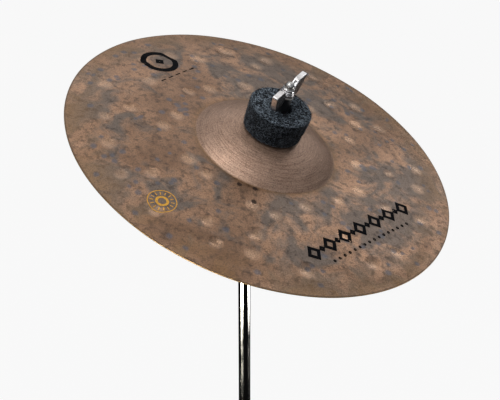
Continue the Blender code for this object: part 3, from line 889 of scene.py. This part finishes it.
def make_stud(matrix):
    """The M6 stud with a real helical thread and a polished dome."""
    per_turn = 7
    segments = 32
    top = STUD_TIP - STUD_DOME_HEIGHT
    count = int((top - STUD_BOTTOM) / THREAD_PITCH * per_turn)
    heights = np.linspace(STUD_BOTTOM, top, count)
    angles = np.linspace(0, math.tau, segments, endpoint=False)
    height, angle = np.meshgrid(heights, angles, indexing="ij")
    phase = (height / THREAD_PITCH - angle / math.tau) % 1.0
    tooth = np.clip(1.35 * (1 - np.abs(2 * phase - 1)), 0, 1)
    fade = np.clip((top - height) / THREAD_PITCH, 0, 1) * np.clip((height - STUD_BOTTOM) / THREAD_PITCH, 0, 1)
    radius = STUD_RADIUS - THREAD_CLEARANCE - THREAD_DEPTH * tooth * fade
    rings = [np.stack([radius * np.cos(angle), radius * np.sin(angle), height], -1).reshape(-1, 3)]
    dome_steps = 9
    for i in range(1, dome_steps + 1):
        lean = math.pi / 2 * i / dome_steps
        ring_radius = (STUD_RADIUS - THREAD_CLEARANCE) * math.cos(lean) + 1e-7
        ring_height = top + STUD_DOME_HEIGHT * math.sin(lean)
        ring = [ring_radius * np.cos(angles), ring_radius * np.sin(angles), np.full(segments, ring_height)]
        rings.append(np.stack(ring, 1))
    points = np.concatenate(rings)
    total = count + dome_steps
    faces = grid_faces(total, segments)
    faces.append(tuple(range(segments)))
    faces.append(tuple((total - 1) * segments + j for j in reversed(range(segments))))
    mesh = mesh_from_arrays("threaded_stud", points, faces)
    outward(mesh)
    stud = make_object("threaded_stud", mesh, matrix)
    smooth(stud, 40)
    stud.data.materials.append(steel_material("stud_steel_look", rgb(196, 194, 190), 0.24))
    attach(stud, "tilter")
    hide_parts("tilter_stud")


def wing_outline(side):
    """One wing's flat shape: steep from the hub, a bend, a level top and a foot drawn in."""
    root = HUB_TOP_RADIUS * 0.7
    points = [
        (root, HUB_BOTTOM + 0.8 * MM),
        (root, WING_SLOPE_FOOT),
        (WING_SLOPE_REACH, WING_SLOPE_FOOT),
        (WING_BEND_REACH - WING_CORNER, WING_TOP - WING_CORNER),
        (WING_BEND_REACH + WING_CORNER, WING_TOP),
        (WING_TIP_REACH - WING_CORNER, WING_TOP),
        (WING_TIP_REACH, WING_TOP - 1.0 * MM),
        (WING_FOOT_REACH + 1.5 * MM, WING_FOOT + 0.6 * MM),
        (WING_FOOT_REACH - WING_CORNER, WING_FOOT),
        (HUB_BOTTOM_RADIUS + 2.2 * MM, WING_FOOT + 1.6 * MM),
        (HUB_BOTTOM_RADIUS + 1.4 * MM, HUB_BOTTOM - 0.6 * MM),
        (HUB_BOTTOM_RADIUS + 0.7 * MM, HUB_BOTTOM + 0.8 * MM),
    ]
    return [(side * reach, height) for reach, height in points]


def slab(name, outline, thickness, bevel):
    """An upright outline in X and Z thickened along Y, with rounded edges."""
    shape = bmesh.new()
    corners = [shape.verts.new((reach, -thickness / 2, height)) for reach, height in outline]
    face = shape.faces.new(corners)
    grown = bmesh.ops.extrude_face_region(shape, geom=[face])
    moved = [v for v in grown["geom"] if isinstance(v, bmesh.types.BMVert)]
    bmesh.ops.translate(shape, verts=moved, vec=(0, thickness, 0))
    bmesh.ops.recalc_face_normals(shape, faces=shape.faces)
    sharp = [e for e in shape.edges if len(e.link_faces) == 2 and e.calc_face_angle() > math.radians(50)]
    bmesh.ops.bevel(shape, geom=sharp, offset=bevel, segments=3, affect="EDGES", profile=0.6)
    bmesh.ops.triangulate(shape, faces=shape.faces)
    mesh = bpy.data.meshes.new(name)
    shape.to_mesh(mesh)
    shape.free()
    return make_object(name, mesh)


def hub_profile():
    return [
        (0.0, HUB_TOP),
        (HUB_TOP_RADIUS - 0.3 * MM, HUB_TOP),
        (HUB_TOP_RADIUS, HUB_TOP - 0.3 * MM),
        (HUB_TOP_RADIUS, HUB_TOP - 1.3 * MM),
        (HUB_MIDDLE_RADIUS, HUB_TOP - 1.7 * MM),
        (HUB_MIDDLE_RADIUS + 0.1 * MM, HUB_TOP - 2.6 * MM),
        (HUB_BOTTOM_RADIUS, HUB_BOTTOM + 1.5 * MM),
        (HUB_BOTTOM_RADIUS, HUB_BOTTOM + 0.4 * MM),
        (HUB_BOTTOM_RADIUS - 0.4 * MM, HUB_BOTTOM),
        (0.0, HUB_BOTTOM),
    ]


def make_wing_nut(matrix):
    """A die-cast wing nut: hub and wings melted together, bored, with a pocket in each wing."""
    hub_mesh = turned_mesh("wing_nut_casting", hub_profile(), NUT_SEGMENTS, closed=False)
    hub = make_object("wing_nut_casting", hub_mesh)
    wings = [slab("wing", wing_outline(side), WING_THICKNESS, WING_BEVEL) for side in (1, -1)]
    with bpy.context.temp_override(active_object=hub, selected_editable_objects=[hub, *wings]):
        bpy.ops.object.join()
    remesh = hub.modifiers.new("Melt", "REMESH")
    remesh.mode = "VOXEL"
    remesh.voxel_size = NUT_VOXEL
    soften = hub.modifiers.new("Soften", "SMOOTH")
    soften.factor = 0.5
    soften.iterations = 4
    applied(hub)

    bore = make_object("nut_bore", turned_mesh("nut_bore", bore_profile(), NUT_SEGMENTS, closed=False))
    slope_foot = Vector((WING_SLOPE_REACH, 0, WING_SLOPE_FOOT))
    slope_head = Vector((WING_BEND_REACH - WING_CORNER, 0, WING_TOP - WING_CORNER))
    slope = slope_head - slope_foot
    lean = Matrix.Rotation(-math.atan2(slope.z, slope.x), 4, "Y")
    on_slope = Matrix.Translation((slope_foot + slope_head) / 2) @ lean
    cutters = [bore]
    for half_turn in (0, math.pi):
        pocket = slab("pocket", pocket_outline(), POCKET_WIDTH, POCKET_BEVEL)
        pocket.matrix_world = Matrix.Rotation(half_turn, 4, "Z") @ on_slope
        cutters.append(pocket)
    for cutter in cutters:
        cut = hub.modifiers.new("Cut", "BOOLEAN")
        cut.operation = "DIFFERENCE"
        cut.solver = "EXACT"
        cut.object = cutter
    applied(hub)
    for cutter in cutters:
        bpy.data.objects.remove(cutter, do_unlink=True)
    hub.matrix_world = matrix @ Matrix.Rotation(WING_ANGLE, 4, "Z")
    hub.data.materials.clear()
    # the wing flanks get painted shade through cast_material's last argument
    hub.data.materials.append(cast_material("wing_nut_plating", rgb(232, 230, 230), 0.24, flank_shade=0.94))
    smooth(hub, 42)
    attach(hub, "nut")
    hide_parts("wing_nut")


def bore_profile():
    """The through hole, opened out a little at its top."""
    above = WING_TOP + 2 * MM
    return [
        (0.0, above),
        (NUT_BORE_RADIUS + BORE_FLARE, above),
        (NUT_BORE_RADIUS + BORE_FLARE, HUB_TOP),
        (NUT_BORE_RADIUS, HUB_TOP - 0.5 * MM),
        (NUT_BORE_RADIUS, HUB_BOTTOM - 1 * MM),
        (0.0, HUB_BOTTOM - 1 * MM),
    ]


def pocket_outline():
    """A box that reaches as far out of the slope as into it."""
    half = POCKET_LENGTH / 2
    return [(-half, -POCKET_DEPTH), (half, -POCKET_DEPTH), (half, POCKET_DEPTH), (-half, POCKET_DEPTH)]


def cast_material(name, colour, roughness, flank_shade=0.0):
    """Plated casting: satin faces, faint pits and warm tarnish.

    The last argument sets how far the flat flanks beside the hub are darkened and made non-metallic as
    painted shade, 0 to 1.
    """
    n = Nodes(name)
    place = n.position()
    cloud = n.noise(place, 160, detail=4)
    pits = n.noise(place, 1400, detail=3, roughness=0.6)
    tint = n.mix(n.ramp(cloud, 0.45, 0.7, 0.0, 0.5), colour, rgb(164, 156, 146))
    tint = n.mix(n.ramp(pits, 0.62, 0.75, 0.0, 0.4), tint, rgb(96, 92, 88))
    on_wing = n.ramp(n.math("ABSOLUTE", n.parts(place)["X"]), HUB_BOTTOM_RADIUS, WING_SLOPE_REACH)
    # painted shade: the wings' broad flat flanks are darkened and lose their metal look
    flank = n.ramp(n.math("ABSOLUTE", n.facing()["Y"]), 0.55, 0.90, 0.0, flank_shade)
    dark = n.math("MULTIPLY", flank, on_wing)
    tint = n.mix(dark, tint, rgb(34, 32, 32))
    rough = n.ramp(cloud, 0.3, 0.7, roughness - 0.05, roughness + 0.10)
    normal = n.bump(pits, 0.00005)
    normal = n.bump(cloud, 0.00015, under=normal)
    unshaded_metal = n.math("SUBTRACT", 1.0, dark)
    return n.set(colour=tint, metallic=unshaded_metal, roughness=rough, normal=normal, specular=0.12)


def steel_material(name, colour, roughness):
    """Zinc-plated steel with fine turning marks and small dulled spots."""
    n = Nodes(name)
    place = n.position()
    turned = n.noise(n.stretched(place, (60.0, 60.0, 5200.0)), 1.0, detail=2)
    spots = n.noise(place, 420, detail=4)
    tint = n.mix(n.ramp(spots, 0.5, 0.72, 0.0, 0.55), colour, rgb(140, 136, 128))
    rough = n.ramp(spots, 0.35, 0.7, roughness, roughness + 0.16)
    normal = n.bump(turned, 0.00002)
    normal = n.bump(spots, 0.00005, under=normal)
    return n.set(colour=tint, metallic=1.0, roughness=rough, normal=normal)


def chrome_material(name):
    """Bright chrome with faint smudges and hairline wiping scratches."""
    n = Nodes(name)
    place = n.position()
    smudge = n.noise(place, 45, detail=4, distortion=0.6)
    wiped = n.noise(n.stretched(place, (1800.0, 1800.0, 30.0)), 1.0, detail=3)
    tint = n.mix(n.ramp(smudge, 0.45, 0.75, 0.0, 0.35), rgb(196, 192, 184), rgb(150, 144, 132))
    rough = n.ramp(smudge, 0.4, 0.75, 0.06, 0.17)
    return n.set(colour=tint, metallic=1.0, roughness=rough, normal=n.bump(wiped, 0.000006))


def nylon_material(name):
    n = Nodes(name)
    place = n.position()
    grain = n.noise(place, 1500, detail=2)
    scuff = n.noise(n.stretched(place, (90.0, 90.0, 900.0)), 1.0, detail=4)
    colour = n.mix(n.ramp(scuff, 0.55, 0.75, 0.0, 0.6), rgb(18, 19, 21), rgb(58, 58, 60))
    rough = n.ramp(scuff, 0.35, 0.7, 0.38, 0.6)
    return n.set(colour=colour, roughness=rough, normal=n.bump(grain, 0.00003))


def fibre_disc_material(name):
    n = Nodes(name)
    place = n.position()
    weave = n.cells(place, 1300)
    cloud = n.noise(place, 300, detail=4)
    colour = n.mix(n.ramp(cloud, 0.35, 0.7), rgb(72, 50, 34), rgb(118, 86, 58))
    colour = n.mix(n.ramp(weave, 0.1, 0.5, 0.5, 0.0), colour, rgb(40, 30, 24))
    return n.set(colour=colour, roughness=n.ramp(cloud, 0.3, 0.7, 0.72, 0.9), normal=n.bump(weave, 0.0001))


def dress_cad_nodes(frame):
    """Gives each CAD piece that stays its finished material."""
    bright = rgb(196, 194, 190)
    dull = rgb(176, 173, 166)
    looks = {
        "stand_arm": chrome_material("arm_chrome_look"),
        "clamp_handle": chrome_material("handle_chrome_look"),
        "cup_washer": chrome_material("cup_washer_look"),
        "tilter_base": cast_material("tilter_base_look", rgb(188, 186, 182), 0.22),
        "tilter_head": cast_material("tilter_head_look", rgb(188, 186, 182), 0.24),
        "cymbal_sleeve": nylon_material("sleeve_look"),
        "brake_disc": fibre_disc_material("brake_look"),
        "seat_nut": steel_material("seat_nut_look", bright, 0.26),
        "nut_washer": steel_material("nut_washer_look", bright, 0.24),
        "clamp_nut": steel_material("clamp_nut_look", dull, 0.3),
        "clamp_bolt": steel_material("clamp_bolt_look", bright, 0.26),
        "clamp_spring_washer": steel_material("spring_washer_look", dull, 0.34),
        "arm_pin": steel_material("arm_pin_look", dull, 0.32),
        "stud_pin": steel_material("stud_pin_look", dull, 0.32),
    }
    for node, look in looks.items():
        for slot in frame["nodes"][node].material_slots:
            slot.material = look


# ---------------------------------------------------------------- floor, light and camera


def make_floor():
    """A wide pale floor well below the arm, so that the arm and cymbal stand clear of it."""
    corners = ((-1, -1), (1, -1), (1, 1), (-1, 1))
    points = [(x * FLOOR_HALF_WIDTH, y * FLOOR_HALF_WIDTH, -FLOOR_DROP) for x, y in corners]
    floor = make_object("floor", mesh_from_arrays("floor", points, [(0, 1, 2, 3)]))
    n = Nodes("pale_floor")
    n.set(colour=(0.02, 0.02, 0.02, 1.0), roughness=1.0, specular=0.0)
    n.shader.inputs["Emission Color"].default_value = (1.0, 1.0, 1.0, 1.0)
    n.shader.inputs["Emission Strength"].default_value = 0.93
    floor.data.materials.append(n.material)
    floor.visible_glossy = False
    floor.visible_diffuse = False


def area_light(name, place, target, width, height, power, colour):
    light = bpy.data.lights.new(name, "AREA")
    light.shape = "RECTANGLE"
    light.size = width
    light.size_y = height
    light.energy = power
    light.color = colour
    made = bpy.data.objects.new(name, light)
    bpy.context.scene.collection.objects.link(made)
    made.location = place
    made.rotation_euler = (target - place).to_track_quat("-Z", "Y").to_euler()


def make_lights(middle, pivot):
    """Softboxes round the cymbal, and two low strips that draw the stripes down the arm."""
    softboxes = (
        ("back_softbox", (0.15, 1.15, 0.70), 1.1, 1.1, 2.4, (1.0, 0.98, 0.96)),
        ("tall_softbox", (0.95, 1.18, 0.60), 0.18, 1.15, 2.2, (1.0, 1.0, 1.0)),
        ("overhead_softbox", (-0.45, -0.1, 1.65), 1.4, 1.4, 17.5, (1.0, 1.0, 1.0)),
        ("left_softbox", (-1.5, -0.2, 0.9), 0.9, 1.4, 1.4, (1.0, 0.97, 0.94)),
        ("front_fill", (0.3, -1.8, 1.2), 1.2, 1.2, 2.4, (1.0, 1.0, 1.0)),
    )
    for name, away, width, height, power, colour in softboxes:
        area_light(name, middle + Vector(away), middle, width, height, power, colour)
    strips = (
        ("left_strip", -49.0, 0.95, 17.0, (1.0, 1.0, 0.93)),
        ("right_strip", 96.0, 0.9, 6.0, (1.0, 1.0, 1.0)),
    )
    for name, side, width, power, colour in strips:
        angle = math.radians(side)
        away = Vector((math.sin(angle), -math.cos(angle), -math.tan(CAMERA_ELEVATION))) * STRIP_DISTANCE
        area_light(name, pivot + away, pivot, width, STRIP_HEIGHT, power, colour)
    make_world()


def make_world():
    """A dim sky that fades to almost black below the horizon."""
    world = bpy.data.worlds.new("studio")
    world.use_nodes = True
    tree = world.node_tree
    background = tree.nodes["Background"]
    background.inputs["Color"].default_value = (0.9, 0.93, 1.0, 1.0)
    place = tree.nodes.new("ShaderNodeTexCoord")
    split = tree.nodes.new("ShaderNodeSeparateXYZ")
    fade = tree.nodes.new("ShaderNodeMapRange")
    fade.inputs["From Min"].default_value = -0.15
    fade.inputs["From Max"].default_value = 0.35
    fade.inputs["To Min"].default_value = 0.006
    fade.inputs["To Max"].default_value = 0.35
    tree.links.new(place.outputs["Generated"], split.inputs[0])
    tree.links.new(split.outputs["Z"], fade.inputs["Value"])
    tree.links.new(fade.outputs["Result"], background.inputs["Strength"])
    bpy.context.scene.world = world


def make_camera(matrix):
    """Looks along +Y and down at the cymbal, which sits a little above the picture's middle."""
    right = Vector((1, 0, 0))
    up = Vector((0, math.sin(CAMERA_ELEVATION), math.cos(CAMERA_ELEVATION)))
    back = Vector((0, -math.cos(CAMERA_ELEVATION), math.sin(CAMERA_ELEVATION)))
    edge_centre = matrix @ Vector((0, 0, EDGE_HEIGHT))
    camera = bpy.data.cameras.new("camera")
    camera.lens = LENS_MM
    camera.sensor_width = SENSOR_MM
    camera.clip_end = 200
    made = bpy.data.objects.new("camera", camera)
    bpy.context.scene.collection.objects.link(made)
    made.location = edge_centre - CAMERA_SIDE * right - CAMERA_RISE * up + CAMERA_DISTANCE * back
    made.rotation_euler = (math.pi / 2 - CAMERA_ELEVATION, 0, 0)
    bpy.context.scene.camera = made


with open("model.json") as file:
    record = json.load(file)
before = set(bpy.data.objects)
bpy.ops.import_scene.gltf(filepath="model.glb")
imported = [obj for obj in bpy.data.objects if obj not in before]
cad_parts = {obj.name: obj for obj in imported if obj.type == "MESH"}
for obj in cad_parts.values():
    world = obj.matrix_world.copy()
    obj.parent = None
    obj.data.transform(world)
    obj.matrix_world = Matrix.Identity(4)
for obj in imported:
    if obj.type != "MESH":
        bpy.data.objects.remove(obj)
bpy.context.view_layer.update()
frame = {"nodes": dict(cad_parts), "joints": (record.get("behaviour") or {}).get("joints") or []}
stud = stud_matrix(frame)
make_camera(stud)
marks = hammer_marks()
make_cymbal(stud, marks)
make_marks(stud, marks)
make_felts(stud)
make_stud(stud)
make_wing_nut(stud)
dress_cad_nodes(frame)
make_floor()
make_lights(stud @ Vector((0, 0, BELL_BASE_HEIGHT)), stud.translation)
bpy.context.scene.view_settings.view_transform = "Standard"
